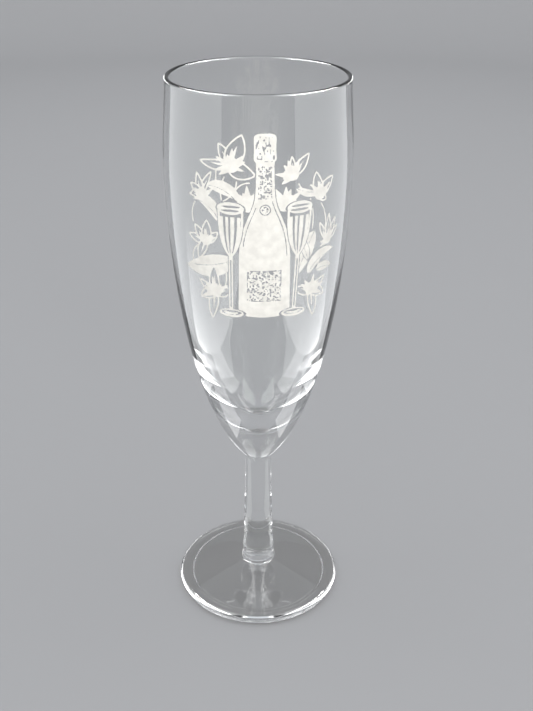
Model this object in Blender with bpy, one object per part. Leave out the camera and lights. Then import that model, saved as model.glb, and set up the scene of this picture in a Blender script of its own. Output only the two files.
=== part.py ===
"""Champagne flute: a blown bowl, a drawn stem and a spun foot, fused end to end.

Metres, +Z up. The origin is the centre of the foot's resting plane, and the flute's
axis is Z. Every piece is turned about that axis from an outline in the (radius, height)
half-plane. The three pieces are separate solids, parted by a hairline at each fused joint.
"""
import math

import bpy

MM = 0.001

# Whole flute
HEIGHT = 175.0 * MM
JOINT_GAP = 0.3 * MM              # hairline between two fused pieces

# Foot: a low spun cone with a rounded edge, rising to a barrel-shaped collar
FOOT_RADIUS = 27.6 * MM
FOOT_EDGE_THICKNESS = 3.2 * MM
FOOT_EDGE_DEPTH = 1.9 * MM            # radial depth of the rounding
FOOT_REST_WIDTH = 2.4 * MM            # flat ring that the flute stands on
FOOT_STEP_WIDTH = 1.2 * MM
FOOT_STEP_HEIGHT = 0.7 * MM           # step up inside that ring
FOOT_HOLLOW_DEPTH = 1.8 * MM          # push-up under the centre
CONE_TOP_RADIUS = 6.3 * MM            # where the cone starts to turn up to the collar
CONE_TOP_Z = 7.7 * MM
CONE_UPPER_REACH = 5.7 * MM           # how far out and down the cone runs in its upper part
CONE_UPPER_FALL = 1.4 * MM
CONE_LOWER_REACH = 6.5 * MM           # and in its lower part
CONE_LOWER_FALL = 1.0 * MM
FILLET_REACH = 0.6 * MM               # between the cone and the collar
FILLET_RISE = 0.15 * MM
COLLAR_BOTTOM_RADIUS = 5.3 * MM
COLLAR_BOTTOM_Z = 8.8 * MM
COLLAR_WIDEST_RADIUS = 5.42 * MM
COLLAR_WIDEST_Z = 12.6 * MM
COLLAR_ROUNDING = 1.3 * MM
COLLAR_FLARE = 0.15 * MM
FOOT_JOINT_Z = 16.5 * MM

# Stem: a solid rod, slightly thinner at the top
STEM_BOTTOM_RADIUS = 5.1 * MM
STEM_LOWER_RADIUS = 4.9 * MM
STEM_TOP_RADIUS = 4.35 * MM
STEM_STRAIGHT = 0.36                  # shares of its length for the straight top
STEM_FLARE = 0.16                     # and for the flare at the bottom
BOWL_JOINT_Z = 49.9 * MM

# Bowl: a solid base, then a wall that thins towards the rim
BOWL_JOINT_RADIUS = 4.6 * MM
BOWL_CHAMFER_RADIUS = 5.3 * MM
BOWL_CHAMFER_HEIGHT = 1.9 * MM
BOWL_WIDEST_RADIUS = 27.4 * MM
BOWL_WIDEST_Z = 148.5 * MM
RIM_RADIUS = 26.1 * MM
RIM_WALL = 1.3 * MM
WIDEST_WALL = 1.5 * MM
CAVITY_FLOOR_Z = 64.0 * MM
CAVITY_FLOOR_WIDTH = 0.50             # share of the widest radius over which the floor stays flat
CAVITY_FULLNESS = 0.55                # share of the cavity's height that its wall stays upright
BASE_SLOPE = math.radians(50.0)       # of the bowl's outer side where it leaves the chamfer
BASE_REACH = 0.35                     # share of the side's height that keeps near that slope
SIDE_STRAIGHT = 0.02                  # share of it that stays upright at the widest point
SHOULDER_STRAIGHT = 0.36              # shares of the height above the widest point: upright
RIM_LEAN_INSIDE = 0.30                # and leaning in to the rim, inside
RIM_LEAN_OUTSIDE = 0.25               # and outside

# Resolution of the turned pieces
WIDE_SEGMENTS = 64
STEM_SEGMENTS = 40
CURVE_POINTS = 14
ARC_POINTS = 5
LIP_POINTS = 6

GLASS_COLOR = (0.93, 0.95, 0.94, 1.0)
GLASS_ROUGHNESS = 0.03
GLASS_IOR = 1.52


def bezier(start, handle_1, handle_2, end, count):
    """Points on a cubic Bezier curve, both ends included."""
    points = []
    for step in range(count + 1):
        t = step / count
        weights = ((1 - t) ** 3, 3 * t * (1 - t) ** 2, 3 * t * t * (1 - t), t ** 3)
        corners = (start, handle_1, handle_2, end)
        points.append(tuple(sum(w * c[axis] for w, c in zip(weights, corners)) for axis in (0, 1)))
    return points


def arc(centre, radii, start, end, count):
    """Points on an elliptical arc from one angle to another, in radians, both ends included."""
    points = []
    for step in range(count + 1):
        angle = start + (end - start) * step / count
        points.append((centre[0] + radii[0] * math.cos(angle), centre[1] + radii[1] * math.sin(angle)))
    return points


def joined(*runs):
    """One outline from several runs of points, without the points that repeat."""
    outline = []
    for run in runs:
        for point in run:
            if not outline or math.dist(outline[-1], point) > 0.01 * MM:
                outline.append(point)
    return outline


def glass_material(name):
    """Clear soda-lime glass."""
    material = bpy.data.materials.new(name)
    material.use_nodes = True
    shader = material.node_tree.nodes["Principled BSDF"]
    shader.inputs["Base Color"].default_value = GLASS_COLOR
    shader.inputs["Roughness"].default_value = GLASS_ROUGHNESS
    shader.inputs["Metallic"].default_value = 0.0
    shader.inputs["IOR"].default_value = GLASS_IOR
    shader.inputs["Transmission Weight"].default_value = 1.0
    return material


def turned(name, outline, segments):
    """A solid of revolution. The outline starts and ends on the axis, outer side last."""
    mesh = bpy.data.meshes.new(name)
    vertices = [(radius, 0.0, z) for radius, z in outline]
    edges = [(i, i + 1) for i in range(len(vertices) - 1)]
    mesh.from_pydata(vertices, edges, [])
    solid = bpy.data.objects.new(name, mesh)
    bpy.context.scene.collection.objects.link(solid)
    screw = solid.modifiers.new("turn", "SCREW")
    screw.axis = "Z"
    screw.angle = math.tau
    screw.steps = segments
    screw.render_steps = segments
    screw.use_merge_vertices = True
    screw.merge_threshold = 0.01 * MM
    screw.use_smooth_shade = True
    mesh.materials.append(glass_material(name + "_glass"))
    return solid


def bowl_outline():
    """From the middle of the cavity's floor, up the inside, over the rim, down to the joint."""
    rim_lip = RIM_WALL / 2
    lip_centre = (RIM_RADIUS - rim_lip, HEIGHT - rim_lip)
    inner_rim = (RIM_RADIUS - RIM_WALL, lip_centre[1])
    outer_rim = (RIM_RADIUS, lip_centre[1])
    inner_widest = (BOWL_WIDEST_RADIUS - WIDEST_WALL, BOWL_WIDEST_Z)
    outer_widest = (BOWL_WIDEST_RADIUS, BOWL_WIDEST_Z)
    upper_height = HEIGHT - BOWL_WIDEST_Z
    cavity_height = BOWL_WIDEST_Z - CAVITY_FLOOR_Z
    cavity = bezier((0.0, CAVITY_FLOOR_Z),
                    (CAVITY_FLOOR_WIDTH * BOWL_WIDEST_RADIUS, CAVITY_FLOOR_Z),
                    (inner_widest[0], BOWL_WIDEST_Z - CAVITY_FULLNESS * cavity_height),
                    inner_widest, CURVE_POINTS)
    inner_top = bezier(inner_widest,
                       (inner_widest[0], BOWL_WIDEST_Z + SHOULDER_STRAIGHT * upper_height),
                       (inner_rim[0], HEIGHT - RIM_LEAN_INSIDE * upper_height),
                       inner_rim, ARC_POINTS)
    lip = arc(lip_centre, (rim_lip, rim_lip), math.pi, 0.0, LIP_POINTS)
    outer_top = bezier(outer_rim,
                       (outer_rim[0], HEIGHT - RIM_LEAN_OUTSIDE * upper_height),
                       (outer_widest[0], BOWL_WIDEST_Z + SHOULDER_STRAIGHT * upper_height),
                       outer_widest, ARC_POINTS)
    base = (BOWL_CHAMFER_RADIUS, BOWL_JOINT_Z + BOWL_CHAMFER_HEIGHT)
    side_height = BOWL_WIDEST_Z - base[1]
    reach = BASE_REACH * side_height
    side = bezier(outer_widest,
                  (outer_widest[0], BOWL_WIDEST_Z - SIDE_STRAIGHT * side_height),
                  (base[0] + reach * math.cos(BASE_SLOPE), base[1] + reach * math.sin(BASE_SLOPE)),
                  base, CURVE_POINTS)
    joint_z = BOWL_JOINT_Z + JOINT_GAP / 2
    joint = [(BOWL_JOINT_RADIUS, joint_z), (0.0, joint_z)]
    return joined(cavity, inner_top, lip, outer_top, side, joint)


def stem_outline():
    """A tapered rod that swells a little just above the foot's collar."""
    top_z = BOWL_JOINT_Z - JOINT_GAP / 2
    bottom_z = FOOT_JOINT_Z + JOINT_GAP / 2
    length = top_z - bottom_z
    side = bezier((STEM_TOP_RADIUS, top_z),
                  (STEM_TOP_RADIUS, top_z - STEM_STRAIGHT * length),
                  (STEM_LOWER_RADIUS, bottom_z + STEM_FLARE * length),
                  (STEM_BOTTOM_RADIUS, bottom_z), 2 * ARC_POINTS)
    return joined([(0.0, top_z)], side, [(0.0, bottom_z)])


def foot_outline():
    """Down the collar and the cone to the rounded edge, then back underneath."""
    joint_z = FOOT_JOINT_Z - JOINT_GAP / 2
    widest = (COLLAR_WIDEST_RADIUS, COLLAR_WIDEST_Z)
    collar_bottom = (COLLAR_BOTTOM_RADIUS, COLLAR_BOTTOM_Z)
    cone_top = (CONE_TOP_RADIUS, CONE_TOP_Z)
    upper_collar = bezier((STEM_BOTTOM_RADIUS, joint_z),
                          (STEM_BOTTOM_RADIUS + COLLAR_FLARE, joint_z - COLLAR_ROUNDING),
                          (widest[0], widest[1] + COLLAR_ROUNDING),
                          widest, ARC_POINTS)
    lower_collar = bezier(widest,
                          (widest[0], widest[1] - COLLAR_ROUNDING),
                          (collar_bottom[0], collar_bottom[1] + COLLAR_ROUNDING),
                          collar_bottom, ARC_POINTS)
    fillet = bezier(collar_bottom,
                    (collar_bottom[0], collar_bottom[1] - FILLET_REACH),
                    (cone_top[0] - FILLET_REACH, cone_top[1] + FILLET_RISE),
                    cone_top, ARC_POINTS)
    edge_half = FOOT_EDGE_THICKNESS / 2
    edge_centre = (FOOT_RADIUS - FOOT_EDGE_DEPTH, edge_half)
    edge_top = (edge_centre[0], FOOT_EDGE_THICKNESS)
    cone = bezier(cone_top,
                  (cone_top[0] + CONE_UPPER_REACH, cone_top[1] - CONE_UPPER_FALL),
                  (edge_top[0] - CONE_LOWER_REACH, edge_top[1] + CONE_LOWER_FALL),
                  edge_top, 2 * ARC_POINTS)
    edge = arc(edge_centre, (FOOT_EDGE_DEPTH, edge_half), math.pi / 2, -math.pi / 2, 2 * ARC_POINTS)
    rest_inner = (edge_centre[0] - FOOT_REST_WIDTH, 0.0)
    step_top = (rest_inner[0] - FOOT_STEP_WIDTH, FOOT_STEP_HEIGHT)
    step = bezier(rest_inner,
                  (rest_inner[0] - FOOT_STEP_WIDTH / 2, 0.0),
                  (step_top[0] + FOOT_STEP_WIDTH / 2, FOOT_STEP_HEIGHT),
                  step_top, ARC_POINTS)
    hollow = bezier(step_top,
                    (2 * step_top[0] / 3, FOOT_STEP_HEIGHT),
                    (step_top[0] / 3, FOOT_HOLLOW_DEPTH),
                    (0.0, FOOT_HOLLOW_DEPTH), ARC_POINTS)
    return joined([(0.0, joint_z)], upper_collar, lower_collar, fillet, cone, edge, step, hollow)


def build_flute():
    for old in list(bpy.data.objects):
        bpy.data.objects.remove(old, do_unlink=True)
    turned("bowl", bowl_outline(), WIDE_SEGMENTS)
    turned("stem", stem_outline(), STEM_SEGMENTS)
    turned("foot", foot_outline(), WIDE_SEGMENTS)


build_flute()
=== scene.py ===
import math

import bpy
import numpy as np
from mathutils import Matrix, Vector


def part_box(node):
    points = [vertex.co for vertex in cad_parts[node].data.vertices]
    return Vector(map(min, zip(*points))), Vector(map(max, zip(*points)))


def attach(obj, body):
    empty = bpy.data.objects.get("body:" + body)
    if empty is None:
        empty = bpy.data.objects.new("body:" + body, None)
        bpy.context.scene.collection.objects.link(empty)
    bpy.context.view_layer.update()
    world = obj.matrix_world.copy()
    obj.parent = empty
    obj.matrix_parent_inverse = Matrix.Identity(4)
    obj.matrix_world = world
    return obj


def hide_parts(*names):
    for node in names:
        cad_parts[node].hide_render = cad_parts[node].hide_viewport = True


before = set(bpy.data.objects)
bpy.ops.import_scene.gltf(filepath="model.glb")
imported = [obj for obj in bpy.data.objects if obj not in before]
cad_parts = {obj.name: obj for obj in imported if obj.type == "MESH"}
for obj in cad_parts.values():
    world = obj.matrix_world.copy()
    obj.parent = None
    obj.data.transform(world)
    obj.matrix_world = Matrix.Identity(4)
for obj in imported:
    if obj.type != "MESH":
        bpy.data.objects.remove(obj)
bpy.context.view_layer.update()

MM = 0.001

# Driving dimensions, from the parts in model.glb. The solids leave a gap at each fused joint; the glass
# meets there
BOWL_LOW, BOWL_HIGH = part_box("bowl")
STEM_LOW, STEM_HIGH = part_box("stem")
FOOT_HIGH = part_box("foot")[1]
HEIGHT = BOWL_HIGH.z
BOWL_JOINT_Z = (STEM_HIGH.z + BOWL_LOW.z) / 2
FOOT_JOINT_Z = (FOOT_HIGH.z + STEM_LOW.z) / 2
BOWL_WIDEST_RADIUS = BOWL_HIGH.x
FOOT_RADIUS = FOOT_HIGH.x
STEM_BOTTOM_RADIUS = STEM_HIGH.x

# Camera: distance and height follow the flute's height
CAMERA_DISTANCE = 1.576 * HEIGHT
CAMERA_HEIGHT = 1.322 * HEIGHT
CAMERA_PITCH = math.radians(27.6)
CAMERA_LENS = 49.58                   # millimetres
CAMERA_SHIFT = 0.0117
CAMERA_NEAR = 0.01
CAMERA_FAR = 20.0


# ---------------------------------------------------------------- outlines

def bezier(start, handle_1, handle_2, end, count):
    """Points on a cubic Bezier curve, both ends included."""
    points = []
    for step in range(count + 1):
        t = step / count
        weights = ((1 - t) ** 3, 3 * t * (1 - t) ** 2, 3 * t * t * (1 - t), t ** 3)
        corners = (start, handle_1, handle_2, end)
        points.append(tuple(sum(w * c[axis] for w, c in zip(weights, corners)) for axis in (0, 1)))
    return points


def arc(centre, radii, start, end, count):
    """Points on an elliptical arc from one angle to another, in radians, both ends included."""
    points = []
    for step in range(count + 1):
        angle = start + (end - start) * step / count
        points.append((centre[0] + radii[0] * math.cos(angle), centre[1] + radii[1] * math.sin(angle)))
    return points


def joined(*runs):
    """One outline from several runs of points, without the points that repeat."""
    outline = []
    for run in runs:
        for point in run:
            if not outline or math.dist(outline[-1], point) > 0.005 * MM:
                outline.append(point)
    return outline


# Bowl: a solid base, then a wall that thins towards the rim
RIM_RADIUS = 26.1 * MM
RIM_WALL = 1.3 * MM
WIDEST_WALL = 1.5 * MM
BOWL_WIDEST_Z = 148.5 * MM
CAVITY_FLOOR_Z = 64.0 * MM
CAVITY_FLOOR_WIDTH = 0.50             # share of the widest radius over which the floor stays flat
CAVITY_FULLNESS = 0.55                # share of the cavity's height that its wall stays upright
BASE_SLOPE = math.radians(50.0)       # of the bowl's outer side where it leaves the chamfer
BASE_REACH = 0.35                     # share of the side's height that keeps near that slope
SIDE_STRAIGHT = 0.02                  # share of it that stays upright at the widest point
SHOULDER_STRAIGHT = 0.36              # shares of the height above the widest point: upright
RIM_LEAN_INSIDE = 0.30                # and leaning in to the rim, inside
RIM_LEAN_OUTSIDE = 0.25               # and outside
BOWL_JOINT_RADIUS = 4.6 * MM
BOWL_CHAMFER_RADIUS = 5.3 * MM
BOWL_CHAMFER_HEIGHT = 1.9 * MM
CHAMFER_TOP_HANDLE = (0.3 * MM, 0.6 * MM)
CHAMFER_BOTTOM_HANDLE = (0.2 * MM, 0.4 * MM)

# Stem: a solid rod, slightly thinner at the top
STEM_LOWER_RADIUS = 4.9 * MM
STEM_TOP_RADIUS = 4.35 * MM
STEM_STRAIGHT = 0.36                  # shares of its length for the straight top
STEM_FLARE = 0.16                     # and for the flare at the bottom

# Foot: a collar, a cone, a rounded edge, a flat ring to rest on and a hollow inside it
COLLAR_BOTTOM_RADIUS = 5.3 * MM
COLLAR_BOTTOM_Z = 8.8 * MM
COLLAR_WIDEST_RADIUS = 5.42 * MM
COLLAR_WIDEST_Z = 12.6 * MM
COLLAR_ROUNDING = 1.3 * MM
COLLAR_FLARE = 0.15 * MM
FILLET_REACH = 0.6 * MM               # between the cone and the collar
FILLET_RISE = 0.15 * MM
CONE_TOP_RADIUS = 6.3 * MM
CONE_TOP_Z = 7.7 * MM
CONE_UPPER_REACH = 5.7 * MM
CONE_UPPER_FALL = 1.4 * MM
CONE_LOWER_REACH = 6.5 * MM
CONE_LOWER_FALL = 1.0 * MM
FOOT_EDGE_THICKNESS = 3.2 * MM
FOOT_EDGE_DEPTH = 1.9 * MM
FOOT_REST_WIDTH = 2.4 * MM
FOOT_STEP_WIDTH = 1.2 * MM
FOOT_STEP_HEIGHT = 0.7 * MM
FOOT_HOLLOW_DEPTH = 1.8 * MM

# Resolution of the turned pieces
WIDE_SEGMENTS = 192
STEM_SEGMENTS = 128
LONG_CURVE = 90
CURVE = 40
EDGE_CURVE = 24
SHORT_CURVE = 20
LIP_CURVE = 16
COLLAR_CURVE = 14
SMALL_CURVE = 12
CHAMFER_CURVE = 8
SMOOTH_UP_TO = math.radians(35.0)     # a sharper bend than this shows as an edge


def bowl_outline():
    """From the middle of the cavity's floor, up the inside, over the rim, down to the joint."""
    rim_lip = RIM_WALL / 2
    lip_centre = (RIM_RADIUS - rim_lip, HEIGHT - rim_lip)
    inner_rim = (RIM_RADIUS - RIM_WALL, lip_centre[1])
    outer_rim = (RIM_RADIUS, lip_centre[1])
    inner_widest = (BOWL_WIDEST_RADIUS - WIDEST_WALL, BOWL_WIDEST_Z)
    outer_widest = (BOWL_WIDEST_RADIUS, BOWL_WIDEST_Z)
    upper_height = HEIGHT - BOWL_WIDEST_Z
    cavity_height = BOWL_WIDEST_Z - CAVITY_FLOOR_Z
    cavity = bezier((0.0, CAVITY_FLOOR_Z),
                    (CAVITY_FLOOR_WIDTH * BOWL_WIDEST_RADIUS, CAVITY_FLOOR_Z),
                    (inner_widest[0], BOWL_WIDEST_Z - CAVITY_FULLNESS * cavity_height),
                    inner_widest, LONG_CURVE)
    inner_top = bezier(inner_widest,
                       (inner_widest[0], BOWL_WIDEST_Z + SHOULDER_STRAIGHT * upper_height),
                       (inner_rim[0], HEIGHT - RIM_LEAN_INSIDE * upper_height),
                       inner_rim, SHORT_CURVE)
    lip = arc(lip_centre, (rim_lip, rim_lip), math.pi, 0.0, LIP_CURVE)
    outer_top = bezier(outer_rim,
                       (outer_rim[0], HEIGHT - RIM_LEAN_OUTSIDE * upper_height),
                       (outer_widest[0], BOWL_WIDEST_Z + SHOULDER_STRAIGHT * upper_height),
                       outer_widest, SHORT_CURVE)
    base = (BOWL_CHAMFER_RADIUS, BOWL_JOINT_Z + BOWL_CHAMFER_HEIGHT)
    joint = (BOWL_JOINT_RADIUS, BOWL_JOINT_Z)
    side_height = BOWL_WIDEST_Z - base[1]
    reach = BASE_REACH * side_height
    side = bezier(outer_widest,
                  (outer_widest[0], BOWL_WIDEST_Z - SIDE_STRAIGHT * side_height),
                  (base[0] + reach * math.cos(BASE_SLOPE), base[1] + reach * math.sin(BASE_SLOPE)),
                  base, LONG_CURVE)
    chamfer = bezier(base,
                     (base[0] - CHAMFER_TOP_HANDLE[0], base[1] - CHAMFER_TOP_HANDLE[1]),
                     (joint[0] + CHAMFER_BOTTOM_HANDLE[0], joint[1] + CHAMFER_BOTTOM_HANDLE[1]),
                     joint, CHAMFER_CURVE)
    return joined(cavity, inner_top, lip, outer_top, side, chamfer,
                  [(joint[0] / 2, joint[1]), (0.0, joint[1])])


def outer_side():
    """Heights and radii of the bowl's outside, from the chamfer up to the rim."""
    outline = bowl_outline()
    top = max(range(len(outline)), key=lambda k: outline[k][1])
    outside = [point for point in outline[top:] if point[0] > 0.0][::-1]
    return [z for radius, z in outside], [radius for radius, z in outside]


SIDE_HEIGHTS, SIDE_RADII = outer_side()


def bowl_radius(z):
    """Radius of the bowl's outside at a height."""
    return float(np.interp(z, SIDE_HEIGHTS, SIDE_RADII))


def stem_outline():
    """A tapered rod that swells a little just above the foot's collar."""
    length = BOWL_JOINT_Z - FOOT_JOINT_Z
    side = bezier((STEM_TOP_RADIUS, BOWL_JOINT_Z),
                  (STEM_TOP_RADIUS, BOWL_JOINT_Z - STEM_STRAIGHT * length),
                  (STEM_LOWER_RADIUS, FOOT_JOINT_Z + STEM_FLARE * length),
                  (STEM_BOTTOM_RADIUS, FOOT_JOINT_Z), CURVE)
    return joined([(0.0, BOWL_JOINT_Z), (STEM_TOP_RADIUS / 2, BOWL_JOINT_Z)], side,
                  [(STEM_BOTTOM_RADIUS / 2, FOOT_JOINT_Z), (0.0, FOOT_JOINT_Z)])


def foot_outline():
    """Down the collar and the cone to the rounded edge, then back underneath."""
    widest = (COLLAR_WIDEST_RADIUS, COLLAR_WIDEST_Z)
    collar_bottom = (COLLAR_BOTTOM_RADIUS, COLLAR_BOTTOM_Z)
    cone_top = (CONE_TOP_RADIUS, CONE_TOP_Z)
    upper_collar = bezier((STEM_BOTTOM_RADIUS, FOOT_JOINT_Z),
                          (STEM_BOTTOM_RADIUS + COLLAR_FLARE, FOOT_JOINT_Z - COLLAR_ROUNDING),
                          (widest[0], widest[1] + COLLAR_ROUNDING),
                          widest, COLLAR_CURVE)
    lower_collar = bezier(widest,
                          (widest[0], widest[1] - COLLAR_ROUNDING),
                          (collar_bottom[0], collar_bottom[1] + COLLAR_ROUNDING),
                          collar_bottom, COLLAR_CURVE)
    fillet = bezier(collar_bottom,
                    (collar_bottom[0], collar_bottom[1] - FILLET_REACH),
                    (cone_top[0] - FILLET_REACH, cone_top[1] + FILLET_RISE),
                    cone_top, SMALL_CURVE)
    edge_half = FOOT_EDGE_THICKNESS / 2
    edge_centre = (FOOT_RADIUS - FOOT_EDGE_DEPTH, edge_half)
    edge_top = (edge_centre[0], FOOT_EDGE_THICKNESS)
    cone = bezier(cone_top,
                  (cone_top[0] + CONE_UPPER_REACH, cone_top[1] - CONE_UPPER_FALL),
                  (edge_top[0] - CONE_LOWER_REACH, edge_top[1] + CONE_LOWER_FALL),
                  edge_top, CURVE)
    edge = arc(edge_centre, (FOOT_EDGE_DEPTH, edge_half), math.pi / 2, -math.pi / 2, EDGE_CURVE)
    rest_inner = (edge_centre[0] - FOOT_REST_WIDTH, 0.0)
    step_top = (rest_inner[0] - FOOT_STEP_WIDTH, FOOT_STEP_HEIGHT)
    step = bezier(rest_inner,
                  (rest_inner[0] - FOOT_STEP_WIDTH / 2, 0.0),
                  (step_top[0] + FOOT_STEP_WIDTH / 2, FOOT_STEP_HEIGHT),
                  step_top, SMALL_CURVE)
    hollow = bezier(step_top,
                    (2 * step_top[0] / 3, FOOT_STEP_HEIGHT),
                    (step_top[0] / 3, FOOT_HOLLOW_DEPTH),
                    (0.0, FOOT_HOLLOW_DEPTH), CURVE)
    return joined([(0.0, FOOT_JOINT_Z), (STEM_BOTTOM_RADIUS / 2, FOOT_JOINT_Z)],
                  upper_collar, lower_collar, fillet, cone, edge, step, hollow)


def even(radius, z, angle):
    """A surface that is turned true."""
    return 0.0


def turned(name, outline, segments, materials, joint_heights, unevenness=even):
    """A mesh turned about Z. Flat faces at the height of a fused joint take the second material."""
    vertices = []
    rings = []
    for radius, z in outline:
        if radius == 0.0:
            rings.append([len(vertices)] * segments)
            vertices.append((0.0, 0.0, z))
            continue
        ring = []
        for step in range(segments):
            angle = math.tau * step / segments
            reach = radius + unevenness(radius, z, angle)
            ring.append(len(vertices))
            vertices.append((reach * math.cos(angle), reach * math.sin(angle), z))
        rings.append(ring)
    faces = []
    fused = []
    for row in range(len(rings) - 1):
        upper, lower = rings[row], rings[row + 1]
        flat = outline[row][1] == outline[row + 1][1] and outline[row][1] in joint_heights
        for step in range(segments):
            after = (step + 1) % segments
            corners = [upper[step], lower[step], lower[after], upper[after]]
            face = []
            for corner in corners:
                if corner not in face:
                    face.append(corner)
            faces.append(face)
            fused.append(flat)
    mesh = bpy.data.meshes.new(name)
    mesh.from_pydata(vertices, [], faces)
    for material in materials:
        mesh.materials.append(material)
    for polygon, flat in zip(mesh.polygons, fused):
        polygon.material_index = 1 if flat else 0
    mesh.shade_smooth()
    mesh.set_sharp_from_angle(angle=SMOOTH_UP_TO)
    piece = bpy.data.objects.new(name, mesh)
    bpy.context.scene.collection.objects.link(piece)
    return piece


# ---------------------------------------------------------------- materials

GLASS_COLOR = (0.966, 0.973, 0.969, 1.0)
GLASS_IOR = 1.52
PATCH_SCALE = 60.0
PATCH_DETAIL = 3.0
PATCH_STARTS = 0.52                  # the noise value up to which the glass is fully polished
PATCH_FULL = 0.75                    # and from which it is dullest
PATCH_ROUGHNESS = 0.05


def clear_glass():
    """Polished glass with faint duller patches, where it has been handled and washed."""
    material = bpy.data.materials.new("clear_glass")
    material.use_nodes = True
    tree = material.node_tree
    shader = tree.nodes["Principled BSDF"]
    place = tree.nodes.new("ShaderNodeTexCoord")
    handling = tree.nodes.new("ShaderNodeTexNoise")
    handling.inputs["Scale"].default_value = PATCH_SCALE
    handling.inputs["Detail"].default_value = PATCH_DETAIL
    polish = tree.nodes.new("ShaderNodeMapRange")
    polish.inputs["From Min"].default_value = PATCH_STARTS
    polish.inputs["From Max"].default_value = PATCH_FULL
    polish.inputs["To Min"].default_value = 0.0
    polish.inputs["To Max"].default_value = PATCH_ROUGHNESS
    tree.links.new(place.outputs["Object"], handling.inputs["Vector"])
    tree.links.new(handling.outputs["Fac"], polish.inputs["Value"])
    tree.links.new(polish.outputs["Result"], shader.inputs["Roughness"])
    shader.inputs["Base Color"].default_value = GLASS_COLOR
    shader.inputs["IOR"].default_value = GLASS_IOR
    shader.inputs["Transmission Weight"].default_value = 1.0
    return material


def fused_joint():
    """Fused glass has no surface inside a joint, so faces that meet there let light straight through."""
    material = bpy.data.materials.new("fused_joint")
    material.use_nodes = True
    tree = material.node_tree
    tree.nodes.remove(tree.nodes["Principled BSDF"])
    through = tree.nodes.new("ShaderNodeBsdfTransparent")
    tree.links.new(through.outputs["BSDF"], tree.nodes["Material Output"].inputs["Surface"])
    return material


# Waves on the inside of the bowl: lobes round it, radians per metre of height, share and phase
INSIDE_WAVE = 0.011 * MM
INSIDE_WAVES = ((3, 60.0, 1.0, 0.0), (5, -95.0, 0.7, 1.3), (8, 160.0, 0.5, 0.4))
WAVES_START_BELOW_RIM = 20.0 * MM
WAVES_START_ABOVE_FLOOR = 10.0 * MM


def blown_inside(radius, z, angle):
    """Blown glass is a little uneven inside; the moulded outside stays true."""
    if z < CAVITY_FLOOR_Z or radius > bowl_radius(z) - WIDEST_WALL / 2:
        return 0.0
    depth = min((HEIGHT - z) / WAVES_START_BELOW_RIM, (z - CAVITY_FLOOR_Z) / WAVES_START_ABOVE_FLOOR, 1.0)
    waves = 0.0
    for lobes, rise, share, phase in INSIDE_WAVES:
        waves += share * math.sin(lobes * angle + rise * z + phase)
    return INSIDE_WAVE * depth * waves


GLASS = clear_glass()
FUSED = fused_joint()

bowl_glass = turned("bowl_glass", bowl_outline(), WIDE_SEGMENTS, (GLASS, FUSED), (BOWL_JOINT_Z,),
                    blown_inside)
stem_glass = turned("stem_glass", stem_outline(), STEM_SEGMENTS, (GLASS, FUSED),
                    (BOWL_JOINT_Z, FOOT_JOINT_Z))
foot_glass = turned("foot_glass", foot_outline(), WIDE_SEGMENTS, (GLASS, FUSED), (FOOT_JOINT_Z,))
for piece, node in ((bowl_glass, "bowl"), (stem_glass, "stem"), (foot_glass, "foot")):
    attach(piece, "root")
    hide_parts(node)
    piece.visible_shadow = False


# ---------------------------------------------------------------- engraving
#
# The picture is drawn as a field over the unrolled bowl, in millimetres: u runs to the right from
# the bottle's axis and z is the height. The field is positive where the glass is matt, and its
# zero line is cut into a thin closed skin that follows the bowl.

DESIGN_TURN = math.radians(3.9)      # the picture sits a little right of the front
DESIGN_LEFT, DESIGN_RIGHT = -26.0, 25.0
DESIGN_BOTTOM, DESIGN_TOP = 109.0, 167.0
DESIGN_GRID = 0.2
LINE = 0.44                          # width of a petal's line
STALK_LINE = 0.36
VEIN_LINE = 0.2
CONTOUR_LINE = 0.26
GAP = 0.24                           # clear line between two shapes
ROUGH_EDGE = 0.09                    # how far the edge of the matt glass wanders
SKIN_BOTTOM = 0.008 * MM
SKIN_TOP = 0.045 * MM
SKIN_SMOOTH_UP_TO = math.radians(50.0)
CROSSING_LEAST = 0.04                # of a grid cell: keeps slivers out of the skin

U_AXIS = np.arange(DESIGN_LEFT, DESIGN_RIGHT + DESIGN_GRID, DESIGN_GRID)
Z_AXIS = np.arange(DESIGN_BOTTOM, DESIGN_TOP + DESIGN_GRID, DESIGN_GRID)
U, Z = np.meshgrid(U_AXIS, Z_AXIS)
EMPTY = np.full(U.shape, -5.0)


def near(points, closed):
    """Distance from every grid place to a run of straight segments."""
    nearest = np.full(U.shape, 1e9)
    ends = points[1:] + points[:1] if closed else points[1:]
    for (u0, z0), (u1, z1) in zip(points, ends):
        du, dz = u1 - u0, z1 - z0
        share = ((U - u0) * du + (Z - z0) * dz) / max(du * du + dz * dz, 1e-9)
        share = np.clip(share, 0.0, 1.0)
        np.minimum(nearest, np.hypot(U - u0 - share * du, Z - z0 - share * dz), out=nearest)
    return nearest


def stroke(points, width, closed=False):
    """A drawn line of even width."""
    return width / 2 - near(points, closed)


def region(points):
    """Filled shape inside a closed run of points."""
    inside = np.zeros(U.shape, bool)
    for (u0, z0), (u1, z1) in zip(points, points[1:] + points[:1]):
        if z0 != z1:
            crossing = (z0 > Z) != (z1 > Z)
            inside ^= crossing & (U < (u1 - u0) * (Z - z0) / (z1 - z0) + u0)
    distance = near(points, True)
    return np.where(inside, distance, -distance)


def oval(u0, z0, half_u, half_z):
    """A filled oval about its middle."""
    reach = np.hypot((U - u0) / half_u, (Z - z0) / half_z)
    return (1.0 - reach) * min(half_u, half_z)


def box(u0, z0, u1, z1):
    """A filled upright box between its lower left and upper right corners."""
    return np.minimum(np.minimum(U - u0, u1 - U), np.minimum(Z - z0, z1 - Z))


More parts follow.
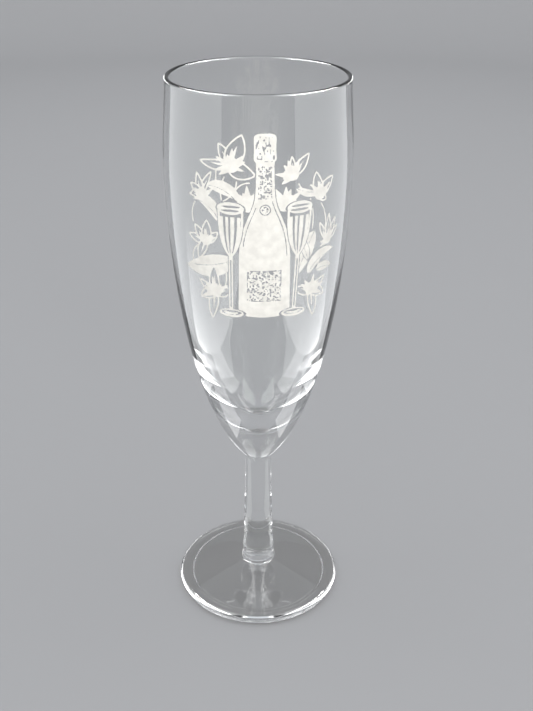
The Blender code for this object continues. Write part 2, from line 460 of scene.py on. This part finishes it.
def grain(seed, step_u, step_z):
    """Smooth noise between 0 and 1 with cells of the given size."""
    rows = int(np.ptp(Z_AXIS) / step_z) + 3
    columns = int(np.ptp(U_AXIS) / step_u) + 3
    values = np.random.default_rng(seed).random((rows, columns))
    across = (U - U_AXIS[0]) / step_u
    up = (Z - Z_AXIS[0]) / step_z
    column, row = across.astype(int), up.astype(int)
    across, up = across - column, up - row
    across, up = across * across * (3 - 2 * across), up * up * (3 - 2 * up)
    low = values[row, column] * (1 - across) + values[row, column + 1] * across
    high = values[row + 1, column] * (1 - across) + values[row + 1, column + 1] * across
    return low * (1 - up) + high * up


def drawn(picture, shape):
    """The picture with the shape made matt."""
    return np.maximum(picture, shape)


def cleared(picture, shape, gap=0.0):
    """The picture with the shape, and a gap round it, left as clear glass."""
    return np.minimum(picture, -shape - gap)


def midline(root, heading, length, bend, count=16):
    """A run that starts at the root and turns by the bend, in degrees, over its length."""
    points = [root]
    for step in range(count):
        angle = math.radians(heading + bend * ((step + 0.5) / count - 0.5))
        last = points[-1]
        points.append((last[0] + length / count * math.cos(angle),
                       last[1] + length / count * math.sin(angle)))
    return points


def blade(root, heading, length, width, bend=0.0, fullness=0.8):
    """Outline of a petal or leaf along its midline, pointed at the tip."""
    middle = midline(root, heading, length, bend)
    count = len(middle) - 1
    left, right = [], []
    for step, (u, z) in enumerate(middle):
        share = step / count
        half = width / 2 * max(math.sin(math.pi * share ** fullness), 0.0) ** 0.75
        angle = math.radians(heading + bend * (share - 0.5))
        left.append((u - half * math.sin(angle), z + half * math.cos(angle)))
        right.append((u + half * math.sin(angle), z - half * math.cos(angle)))
    return left + right[-2:0:-1]


PETAL_FULLNESS = 0.72                # below 1 a petal is widest nearer its root
PETAL_VEIN = 0.62                    # of the petal's length and bend
PETAL_HEART = (0.6, 0.2)             # length and width of the filled heart, as shares of the petal's
LEAF_VEIN = 0.8                      # of the leaf's length and bend
SPIKE_LENGTH = 0.76                  # of the tuft's length, and how far it varies
SPIKE_VARIES = 0.24
SPIKE_STEP = 2.4                     # along the wave that makes one spike longer than the next
SPIKE_WIDTH = 0.3
SPIKE_FULLNESS = 0.55
TUFT_HEART = (0.36, 0.28)


def petals(picture, centre, blades):
    """Outlined petals, each hiding what lies behind it, with a filled heart and a vein."""
    for heading, length, width, bend in blades:
        edge = blade(centre, heading, length, width, bend, PETAL_FULLNESS)
        picture = cleared(picture, region(edge))
        picture = drawn(picture, stroke(edge, LINE, True))
        long, wide = PETAL_HEART
        heart = blade(centre, heading, long * length, wide * width, long * bend)
        picture = drawn(picture, region(heart))
        vein = midline(centre, heading, PETAL_VEIN * length, PETAL_VEIN * bend)
        picture = drawn(picture, stroke(vein, VEIN_LINE))
    return picture


def burst(picture, centre, facing, spread, count, length):
    """Stamens: a filled heart and a fan of spikes of uneven length."""
    for k in range(count):
        heading = facing + spread * (k / (count - 1) - 0.5)
        reach = length * (SPIKE_LENGTH + SPIKE_VARIES * math.cos(SPIKE_STEP * k + facing))
        spike = blade(centre, heading, reach, SPIKE_WIDTH * length, 0.0, SPIKE_FULLNESS)
        picture = drawn(picture, region(spike))
    across, up = TUFT_HEART
    return drawn(picture, oval(centre[0], centre[1], across * length, up * length))


def leaf(picture, root, heading, length, width, bend):
    """A filled leaf with a clear vein."""
    shape = region(blade(root, heading, length, width, bend))
    vein = midline(root, heading, LEAF_VEIN * length, LEAF_VEIN * bend)
    picture = cleared(picture, shape, GAP)
    return drawn(picture, cleared(shape, stroke(vein, VEIN_LINE)))


# Leaves: root, heading, length, width, bend. Angles are in degrees, from the right towards the rim
LEAVES = (
    ((-8.4, 130.2), 196.0, 17.0, 6.6, -22.0),
    ((-12.6, 140.6), 146.0, 13.5, 3.6, 96.0),
    ((-16.0, 150.8), -22.0, 11.0, 3.6, -70.0),
    ((14.6, 137.5), 246.0, 14.5, 5.0, 12.0),
    ((13.0, 124.5), 32.0, 12.5, 3.2, -96.0),
    ((15.6, 125.2), 0.0, 6.4, 2.8, -50.0),
    ((8.4, 150.6), -16.0, 9.0, 2.0, 46.0),
    ((12.6, 129.0), 112.0, 9.0, 2.2, 24.0),
)

# Stalks and tendrils: start, heading, length, bend
STALKS = (
    ((-11.0, 153.6), 262.0, 6.5, 40.0),
    ((-7.6, 152.6), 236.0, 7.0, -60.0),
    ((9.2, 151.6), 330.0, 8.0, 70.0),
    ((16.6, 145.0), 282.0, 8.5, -46.0),
    ((-19.6, 133.0), 250.0, 6.5, 70.0),
    ((19.4, 131.0), 236.0, 6.0, 40.0),
    ((-4.2, 152.4), 214.0, 5.0, 70.0),
    ((-13.4, 156.0), 262.0, 5.6, -30.0),
    ((12.6, 150.8), 20.0, 4.4, 120.0),
    ((-20.4, 145.4), 262.0, 6.0, 50.0),
    ((12.8, 147.0), 276.0, 9.0, -30.0),
    ((-10.8, 126.0), 262.0, 5.0, -30.0),
)

# Flowers, back to front: where the petals meet; heading, length, width and bend of each petal;
# then the stamens' centre, facing, spread, count and length
FLOWERS = (
    ((-9.6, 157.0),
     ((178.0, 8.6, 2.6, -24.0), (-20.0, 7.4, 4.4, 26.0), (118.0, 6.0, 3.0, 10.0), (66.0, 8.6, 5.0, 12.0)),
     ((-9.0, 156.4), 118.0, 190.0, 10, 5.2)),
    ((7.6, 154.4),
     ((48.0, 6.6, 2.8, 12.0), (96.0, 4.6, 1.5, 0.0)),
     ((7.4, 154.0), 130.0, 170.0, 9, 5.0)),
    ((16.2, 147.4),
     ((104.0, 6.8, 3.2, -16.0), (44.0, 6.4, 3.2, -20.0), (-38.0, 2.6, 2.0, 0.0)),
     ((16.1, 147.4), 86.0, 130.0, 8, 4.8)),
    ((-18.4, 147.8),
     ((62.0, 7.6, 1.9, -10.0), (100.0, 6.0, 2.3, 16.0), (140.0, 4.2, 2.4, 20.0), (186.0, 3.4, 2.2, 30.0)),
     ((-17.6, 147.4), 120.0, 160.0, 8, 4.4)),
    ((-17.0, 134.6),
     ((170.0, 6.0, 2.6, -10.0), (246.0, 6.2, 2.8, 18.0), (40.0, 4.9, 2.4, 16.0), (130.0, 5.6, 2.6, -12.0),
      (86.0, 6.2, 3.0, 8.0)),
     ((-16.9, 134.5), 106.0, 150.0, 8, 4.0)),
    ((-14.2, 119.2),
     ((262.0, 8.6, 3.0, 14.0), (206.0, 5.6, 3.4, 30.0), (20.0, 5.4, 3.0, 26.0), (150.0, 6.2, 2.2, -10.0),
      (92.0, 8.4, 3.1, -14.0)),
     ((-14.3, 119.2), 110.0, 190.0, 10, 5.2)),
    ((14.0, 119.2),
     ((278.0, 8.6, 3.0, -14.0), (-26.0, 5.6, 3.4, -30.0), (160.0, 5.4, 3.0, -26.0), (34.0, 6.0, 2.2, 10.0)),
     ((14.1, 119.2), 70.0, 190.0, 10, 5.2)),
    ((19.6, 133.8),
     ((120.0, 6.4, 1.7, -20.0), (88.0, 7.4, 1.8, 0.0), (62.0, 6.6, 1.7, 14.0), (36.0, 5.2, 1.6, 20.0)),
     ((19.6, 133.4), 110.0, 190.0, 8, 3.8)),
)

# Tufts beside the bottle's shoulders: centre, facing, spread, count, length
TUFTS = (
    ((-4.6, 146.0), 118.0, 150.0, 10, 6.0),
    ((5.4, 146.0), 62.0, 150.0, 10, 6.0),
)


def sprays():
    """Flowers and leaves behind the bottle, on both sides."""
    picture = EMPTY
    for root, heading, length, width, bend in LEAVES:
        picture = leaf(picture, root, heading, length, width, bend)
    for start, heading, length, bend in STALKS:
        picture = drawn(picture, stroke(midline(start, heading, length, bend), STALK_LINE))
    for centre, blades, stamens in FLOWERS:
        picture = petals(picture, centre, blades)
        picture = burst(picture, *stamens)
    for tuft in TUFTS:
        picture = burst(picture, *tuft)
    return picture


def bottle_side():
    """Right half of the bottle's outline, from the top of the foil to the middle of the bottom."""
    foil = bezier((0.0, 165.3), (1.6, 165.35), (2.9, 165.2), (2.95, 164.2), 8)
    foil += bezier((2.9, 162.0), (2.8, 160.6), (3.2, 159.4), (2.9, 158.2), 6)
    neck = [(2.45, 157.8), (2.4, 155.0), (2.5, 151.0)]
    shoulder = bezier((2.6, 149.5), (3.0, 143.5), (6.6, 142.0), (7.1, 131.5), 16)
    corner = bezier((7.3, 115.2), (7.3, 112.9), (6.0, 112.5), (0.0, 112.3), 12)
    return foil + neck + shoulder + corner


BOTTLE_RIGHT = bottle_side()
BOTTLE_SHAPE = region(BOTTLE_RIGHT + [(-u, z) for u, z in BOTTLE_RIGHT[-2:0:-1]])

SEAL = (0.0, 145.0)
SEAL_RING = (1.55, 1.25)             # outer and inner radius of the clear ring
SEAL_MIDDLE = 0.95
FOIL_EDGE_Z = 158.1
FOIL_CRINKLE = (-2.5, 158.6, 2.5, 164.6)
NECK_LABEL = (-1.9, 147.8, 1.9, 157.0)
LABEL = (-4.9, 117.5, 4.7, 127.2)
LABEL_BORDER = 0.25
CONTOUR_INSET = 0.95
CONTOURS = ((1.0, 147.4, 131.0), (-1.0, 145.6, 134.0))     # side, top and bottom


def bottle_half(z):
    """Half of the bottle's width at a height."""
    heights = [point[1] for point in BOTTLE_RIGHT[::-1]]
    halves = [point[0] for point in BOTTLE_RIGHT[::-1]]
    return float(np.interp(z, heights, halves))


def speckled(seed, cell_u, cell_z, share):
    """Small clear specks, where smooth noise is further from its middle value than the share."""
    return np.abs(grain(seed, cell_u, cell_z) - 0.5) - share


def bottle():
    """A matt bottle with crinkled foil, a stippled neck label, a seal, two contours and a label."""
    crinkle = grain(11, 0.38, 0.7) - 0.71
    side_folds = 0.5 * (1.2 - np.abs(np.abs(U + 0.1) - 1.25)) + 0.3
    foil = np.minimum(box(*FOIL_CRINKLE), side_folds)
    picture = cleared(BOTTLE_SHAPE, np.minimum(crinkle, foil))
    picture = cleared(picture, np.minimum(speckled(23, 0.46, 0.56, 0.21), box(*NECK_LABEL)))
    picture = cleared(picture, stroke([(-2.9, FOIL_EDGE_Z), (2.9, FOIL_EDGE_Z)], VEIN_LINE))
    outer, inner = (oval(*SEAL, radius, radius) for radius in SEAL_RING)
    picture = cleared(picture, np.minimum(outer, -inner))
    middle = oval(*SEAL, SEAL_MIDDLE, SEAL_MIDDLE)
    picture = cleared(picture, np.minimum(speckled(31, 0.45, 0.45, 0.2), middle))
    for side, start, end in CONTOURS:
        contour = [(side * (bottle_half(z) - CONTOUR_INSET), z) for z in np.arange(start, end, -0.8)]
        picture = cleared(picture, stroke(contour, CONTOUR_LINE))
    label = box(*LABEL)
    picture = cleared(picture, np.minimum(speckled(47, 0.44, 0.44, 0.21), label))
    left, bottom, right, top = LABEL
    inset = box(left + LABEL_BORDER, bottom + LABEL_BORDER, right - LABEL_BORDER, top - LABEL_BORDER)
    broken = grain(53, 0.7, 0.7) - 0.35
    return cleared(picture, np.minimum(np.minimum(label, -inset), broken))


# The small flutes, in millimetres on the unrolled bowl
FLUTE_RIM_Z = 145.1
FLUTE_TIP_Z = 130.8
FLUTE_FOOT_Z = 113.3
FLUTE_HALF_WIDTH = 3.6
FLUTE_MOUTH = (3.75, 1.75)           # half-axes of the mouth
FLUTE_WALL = 0.62
FLUTE_STRIPES = ((-0.74, 0.16), (-0.28, 0.11), (0.16, 0.16), (0.66, 0.13))    # place, half-width
FLUTE_STRIPES_BELOW_RIM = 2.4
FLUTE_STEM = 1.15
FLUTE_STEM_CORE = 0.42
FLUTE_FOOT = (3.7, 1.35)


def flute(u0, lean):
    """A small flute: rim, striped bowl, thin stem and foot. The top leans to the right."""
    rise = FLUTE_RIM_Z - FLUTE_FOOT_Z
    mouth_u = u0 + lean
    axis = u0 + lean * (Z - FLUTE_FOOT_Z) / rise
    share = np.clip((FLUTE_RIM_Z - Z) / (FLUTE_RIM_Z - FLUTE_TIP_Z), 0.0, 1.0)
    half = FLUTE_HALF_WIDTH * np.maximum(1.0 - share ** 3, 0.0) ** 0.8
    bowl = np.minimum(half - np.abs(U - axis), np.minimum(FLUTE_RIM_Z - Z, Z - FLUTE_TIP_Z + 0.4))
    across = (U - axis) / np.maximum(half, 0.05)
    walls = np.minimum(bowl, FLUTE_WALL - bowl)
    striped = np.minimum(bowl, FLUTE_RIM_Z - FLUTE_STRIPES_BELOW_RIM - Z)
    for place, width in FLUTE_STRIPES:
        stripe = (width - np.abs(across - place)) * half
        walls = drawn(walls, np.minimum(stripe, striped))
    mouth = oval(mouth_u, FLUTE_RIM_Z, *FLUTE_MOUTH)
    rim = cleared(mouth, oval(mouth_u + 0.1, FLUTE_RIM_Z + 0.5, 2.7, 0.34))
    rim = cleared(rim, oval(mouth_u, FLUTE_RIM_Z - 0.62, 2.7, 0.34))
    picture = drawn(cleared(walls, mouth), rim)
    stem_top = u0 + lean * (FLUTE_TIP_Z - FLUTE_FOOT_Z) / rise
    stem = stroke([(stem_top, FLUTE_TIP_Z + 0.3), (u0, FLUTE_FOOT_Z + 1.6)], FLUTE_STEM)
    core = stroke([(stem_top, FLUTE_TIP_Z - 0.9), (u0, FLUTE_FOOT_Z + 2.2)], FLUTE_STEM_CORE)
    foot = oval(u0, FLUTE_FOOT_Z, *FLUTE_FOOT)
    foot_open = cleared(foot, oval(u0, FLUTE_FOOT_Z + 0.22, 3.1, 0.75))
    foot_open = drawn(foot_open, np.minimum(oval(u0, FLUTE_FOOT_Z + 0.15, 2.2, 0.5), foot))
    foot_open = cleared(foot_open, oval(u0, FLUTE_FOOT_Z + 0.5, 1.5, 0.3))
    picture = drawn(picture, cleared(stem, core))
    picture = drawn(cleared(picture, foot), drawn(foot_open, np.minimum(stem, foot)))
    shape = np.maximum(np.maximum(bowl, mouth), np.maximum(stem, foot))
    return picture, shape


def engraving():
    """The picture's four parts, each clear of the ones in front of it."""
    left, left_shape = flute(-9.45, 0.0)
    right, right_shape = flute(8.6, 1.2)
    flutes_shape = np.maximum(left_shape, right_shape)
    behind = cleared(sprays(), BOTTLE_SHAPE, GAP)
    behind = cleared(behind, flutes_shape, GAP)
    front = cleared(bottle(), flutes_shape, GAP)
    rough_edge = ROUGH_EDGE * (grain(5, 0.45, 0.45) - 0.5)
    return (("engraved_bottle", front + rough_edge), ("engraved_flute_left", left + rough_edge),
            ("engraved_flute_right", right + rough_edge), ("engraved_sprays", behind + rough_edge))


def on_bowl(u, z_mm, lift):
    """Place of a point of the picture on the bowl's outside."""
    z = z_mm * MM
    radius = bowl_radius(z)
    angle = u * MM / radius + DESIGN_TURN
    radius += lift
    return (radius * math.sin(angle), -radius * math.cos(angle), z)


def matt_tiles(field):
    """The parts of the grid's cells where the field is positive, and the edges round them.

    The corners of a tile are numbers into the list of places, which are pairs of u and z."""
    cell = ((0, 0), (0, 1), (1, 1), (1, 0))
    numbers = {}
    places = []

    def number(key, u, z):
        if key not in numbers:
            numbers[key] = len(places)
            places.append((u, z))
        return numbers[key]

    tiles = []
    edges = []
    inside = field > 0.0
    some = inside[:-1, :-1] | inside[1:, :-1] | inside[:-1, 1:] | inside[1:, 1:]
    for row, column in zip(*np.nonzero(some)):
        tile = []
        leaving = []
        for k in range(4):
            r0, c0 = row + cell[k][0], column + cell[k][1]
            r1, c1 = row + cell[(k + 1) % 4][0], column + cell[(k + 1) % 4][1]
            v0, v1 = field[r0, c0], field[r1, c1]
            if v0 > 0.0:
                tile.append(number((r0, c0), U_AXIS[c0], Z_AXIS[r0]))
            if (v0 > 0.0) != (v1 > 0.0):
                share = min(max(v0 / (v0 - v1), CROSSING_LEAST), 1.0 - CROSSING_LEAST)
                key = (min((r0, c0), (r1, c1)), max((r0, c0), (r1, c1)))
                u = U_AXIS[c0] + share * (U_AXIS[c1] - U_AXIS[c0])
                z = Z_AXIS[r0] + share * (Z_AXIS[r1] - Z_AXIS[r0])
                if v0 > 0.0:
                    leaving.append(len(tile))
                tile.append(number(key, u, z))
        tiles.append(tile)
        edges += [(tile[spot], tile[(spot + 1) % len(tile)]) for spot in leaving]
    return places, tiles, edges


def skin(name, field, material):
    """A closed thin skin over the places where the field is positive."""
    places, tiles, edges = matt_tiles(field)
    count = len(places)
    vertices = [on_bowl(u, z, SKIN_TOP) for u, z in places]
    vertices += [on_bowl(u, z, SKIN_BOTTOM) for u, z in places]
    faces = list(tiles)
    faces += [[corner + count for corner in tile[::-1]] for tile in tiles]
    faces += [[b, a, a + count, b + count] for a, b in edges]
    mesh = bpy.data.meshes.new(name)
    mesh.from_pydata(vertices, [], faces)
    mesh.materials.append(material)
    mesh.shade_smooth()
    mesh.set_sharp_from_angle(angle=SKIN_SMOOTH_UP_TO)
    piece = bpy.data.objects.new(name, mesh)
    bpy.context.scene.collection.objects.link(piece)
    return piece


MATT_DARK = (0.69, 0.67, 0.62, 1.0)
MATT_PALE = (0.79, 0.77, 0.715, 1.0)
MATT_DARK_AT, MATT_PALE_AT = 0.35, 0.65
MATT_ROUGHNESS = 0.75
MATT_SPECULAR = 0.3
MOTTLE_SCALE = 420.0
MOTTLE_DETAIL = 4.0


def etched_glass():
    """Matt, slightly mottled off-white glass."""
    material = bpy.data.materials.new("etched_glass")
    material.use_nodes = True
    tree = material.node_tree
    shader = tree.nodes["Principled BSDF"]
    place = tree.nodes.new("ShaderNodeTexCoord")
    mottle = tree.nodes.new("ShaderNodeTexNoise")
    mottle.inputs["Scale"].default_value = MOTTLE_SCALE
    mottle.inputs["Detail"].default_value = MOTTLE_DETAIL
    tint = tree.nodes.new("ShaderNodeValToRGB")
    tint.color_ramp.elements[0].position = MATT_DARK_AT
    tint.color_ramp.elements[0].color = MATT_DARK
    tint.color_ramp.elements[1].position = MATT_PALE_AT
    tint.color_ramp.elements[1].color = MATT_PALE
    tree.links.new(place.outputs["Object"], mottle.inputs["Vector"])
    tree.links.new(mottle.outputs["Fac"], tint.inputs["Fac"])
    tree.links.new(tint.outputs["Color"], shader.inputs["Base Color"])
    shader.inputs["Roughness"].default_value = MATT_ROUGHNESS
    shader.inputs["Specular IOR Level"].default_value = MATT_SPECULAR
    return material


ETCHED = etched_glass()
ENGRAVED = [skin(name, field, ETCHED) for name, field in engraving()]
for piece in ENGRAVED:
    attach(piece, "root")


# ---------------------------------------------------------------- stage
#
# Sizes and places of the studio are in metres and powers in watts.

PAPER_COLOR = (0.335, 0.335, 0.342, 1.0)
SWEEP_RADIUS = 1.3
SWEEP_TOP = 1.4
COVE_RADIUS = 0.35
COVE_CURVE = 24
FLOOR_CENTRE_RADIUS = 0.3
FLOOR_BELOW_FOOT = 0.2 * MM
SWEEP_SEGMENTS = 96
FLOOR_LEVEL = 0.002                  # of the cards that lie on the floor
FLAT_SPREAD = 140.0                  # a card on the floor isn't seen at a grazing angle
SKY_COLOR = (0.9, 0.95, 1.0, 1.0)
SKY_STRENGTH = 0.8
CARD_COLOR = (0.96, 0.98, 1.0, 1.0)
CARD_STRENGTH = 2.2
CARD_FIRST = 50.0                    # degrees round the axis, from the back
CARD_LAST = 137.0
CARD_STEPS = 16
CARD_PROFILE = ((0.09, 0.003), (0.95, 0.003), (0.95, 0.6))     # along the floor, then up

# Cards on the floor at the right: name, place, size, power. The left has the same ones mirrored
FLOOR_CARDS = (
    ("wide_card", (0.30, -0.085), (0.42, 0.31), 0.8),
    ("near_card", (0.0625, -0.01), (0.055, 0.04), 0.009),
)

# Lamps at the right: name, place, target, size, power, rays. The left has the same ones mirrored
SIDE_LAMPS = (
    ("over", (0.40, -0.05, 0.55), (0.0, 0.0, 0.10), (0.6, 0.6), 4.0, ("glossy", "transmission")),
    ("strip", (0.40, -0.05, 0.55), (0.0, -0.05, 0.15), (0.8, 0.10), 9.0, ("glossy",)),
    ("fill", (0.50, 0.10, 0.75), (0.0, 0.0, 0.10), (0.6, 0.6), 0.6, ("diffuse",)),
    ("edge", (0.50, 0.80, 0.08), (0.0, 0.0, 0.14), (0.6, 0.14), 1.6, ("glossy",)),
)

# Lamps for matt surfaces: one in front of the flute, one high up that falls on the sweep behind it,
# and one behind it for the engraving. Name, place, target, size, power, rays
FRONT_BOX = ("front_box", (0.1, -1.1, 0.62), (0.0, 0.0, 0.12), (0.8, 0.4), 15.0, ("diffuse",))
BACK_BOX = ("back_box", (0.0, 0.5, 1.2), (0.0, 1.1, 0.1), (1.4, 0.5), 9.0, ("diffuse",))
BEHIND_BOX = ("behind_box", (0.0, 1.0, 0.5), (0.0, 0.0, 0.13), (1.0, 0.4), 17.0, ("diffuse",))

MAX_BOUNCES = 32
REFLECTIONS = 16
REFRACTIONS = 24


def sweep_material():
    """Plain matt paper."""
    material = bpy.data.materials.new("studio_paper")
    material.use_nodes = True
    shader = material.node_tree.nodes["Principled BSDF"]
    shader.inputs["Base Color"].default_value = PAPER_COLOR
    shader.inputs["Roughness"].default_value = 1.0
    shader.inputs["Specular IOR Level"].default_value = 0.0
    return material


def sweep():
    """A round studio sweep: the floor turns up into a wall all the way round."""
    cove = arc((SWEEP_RADIUS - COVE_RADIUS, COVE_RADIUS), (COVE_RADIUS, COVE_RADIUS),
               -math.pi / 2, 0.0, COVE_CURVE)
    outline = [(SWEEP_RADIUS, SWEEP_TOP)] + cove[::-1] + [(FLOOR_CENTRE_RADIUS, 0.0), (0.0, 0.0)]
    outline = [(radius, z - FLOOR_BELOW_FOOT) for radius, z in outline]
    stage = turned("studio_sweep", outline, SWEEP_SEGMENTS, (sweep_material(),), ())
    stage.data.flip_normals()


def seen_in(thing, *rays):
    """Leave a light or card out of the picture, and let only these kinds of ray meet it."""
    thing.visible_camera = False
    thing.visible_diffuse = "diffuse" in rays
    thing.visible_glossy = "glossy" in rays
    thing.visible_transmission = "transmission" in rays


def softbox(name, place, target, size, power, rays, spread=180.0):
    """A rectangular lamp aimed at a target."""
    light = bpy.data.lights.new(name, "AREA")
    light.shape = "RECTANGLE"
    light.size, light.size_y = size
    light.energy = power
    light.spread = math.radians(spread)
    lamp = bpy.data.objects.new(name, light)
    bpy.context.scene.collection.objects.link(lamp)
    lamp.location = place
    lamp.rotation_mode = "QUATERNION"
    lamp.rotation_quaternion = (Vector(target) - lamp.location).to_track_quat("-Z", "Y")
    seen_in(lamp, *rays)
    return lamp


def floor_card(name, place, size, power):
    """A lamp that lies on the floor and faces up."""
    x, y = place
    softbox(name, (x, y, FLOOR_LEVEL), (x, y, 1.0), size, power, ("glossy", "transmission"), FLAT_SPREAD)


def glow_material():
    """An even, faintly blue glow."""
    material = bpy.data.materials.new("card_glow")
    material.use_nodes = True
    tree = material.node_tree
    tree.nodes.remove(tree.nodes["Principled BSDF"])
    glow = tree.nodes.new("ShaderNodeEmission")
    glow.inputs["Color"].default_value = CARD_COLOR
    glow.inputs["Strength"].default_value = CARD_STRENGTH
    tree.links.new(glow.outputs["Emission"], tree.nodes["Material Output"].inputs["Surface"])
    return material


def tall_card(name, side):
    """A glowing card beside the flute, swept about the axis and seen only as a reflection."""
    vertices = []
    for step in range(CARD_STEPS + 1):
        angle = math.radians(CARD_FIRST + (CARD_LAST - CARD_FIRST) * step / CARD_STEPS)
        for reach, z in CARD_PROFILE:
            vertices.append((side * reach * math.sin(angle), reach * math.cos(angle), z))
    row = len(CARD_PROFILE)
    faces = [(row * k + j, row * k + j + 1, row * (k + 1) + j + 1, row * (k + 1) + j)
             for k in range(CARD_STEPS) for j in range(row - 1)]
    mesh = bpy.data.meshes.new(name)
    mesh.from_pydata(vertices, [], faces)
    mesh.materials.append(glow_material())
    card = bpy.data.objects.new(name, mesh)
    bpy.context.scene.collection.objects.link(card)
    card.visible_shadow = False
    seen_in(card, "glossy")


def falls_only_on(lamp, pieces):
    """Matt glass is as pale from inside the bowl as from outside, so it has a light of its own."""
    lit = bpy.data.collections.new(lamp.name + "_falls_on")
    for piece in pieces:
        lit.objects.link(piece)
    lamp.light_linking.receiver_collection = lit


def side_lights(side):
    """The cards and lamps of one side, -1 for the left and 1 for the right."""
    for name, (x, y), size, power in FLOOR_CARDS:
        floor_card("%s%d" % (name, side), (x * side, y), size, power)
    tall_card("tall_card%d" % side, side)
    for name, (x, y, z), target, size, power, rays in SIDE_LAMPS:
        softbox("%s%d" % (name, side), (x * side, y, z), target, size, power, rays)


def sky():
    """An even glow, which reaches the flute through the open top of the sweep."""
    world = bpy.data.worlds.new("studio")
    bpy.context.scene.world = world
    world.use_nodes = True
    background = world.node_tree.nodes["Background"]
    background.inputs["Color"].default_value = SKY_COLOR
    background.inputs["Strength"].default_value = SKY_STRENGTH


def studio():
    sweep()
    for side in (-1, 1):
        side_lights(side)
    softbox(*FRONT_BOX)
    softbox(*BACK_BOX)
    falls_only_on(softbox(*BEHIND_BOX), ENGRAVED)
    sky()


def camera():
    data = bpy.data.cameras.new("camera")
    data.lens = CAMERA_LENS
    data.shift_x = CAMERA_SHIFT
    data.clip_start = CAMERA_NEAR
    data.clip_end = CAMERA_FAR
    view = bpy.data.objects.new("camera", data)
    bpy.context.scene.collection.objects.link(view)
    view.location = (0.0, -CAMERA_DISTANCE, CAMERA_HEIGHT)
    view.rotation_euler = (math.pi / 2 - CAMERA_PITCH, 0.0, 0.0)
    bpy.context.scene.camera = view


def light_paths():
    """Light passes many walls of thick glass, and throws no bright patches round the foot."""
    cycles = bpy.context.scene.cycles
    cycles.max_bounces = MAX_BOUNCES
    cycles.glossy_bounces = REFLECTIONS
    cycles.transmission_bounces = REFRACTIONS
    cycles.caustics_refractive = False
    cycles.caustics_reflective = False


studio()
camera()
light_paths()
bpy.context.scene.view_settings.view_transform = "Standard"
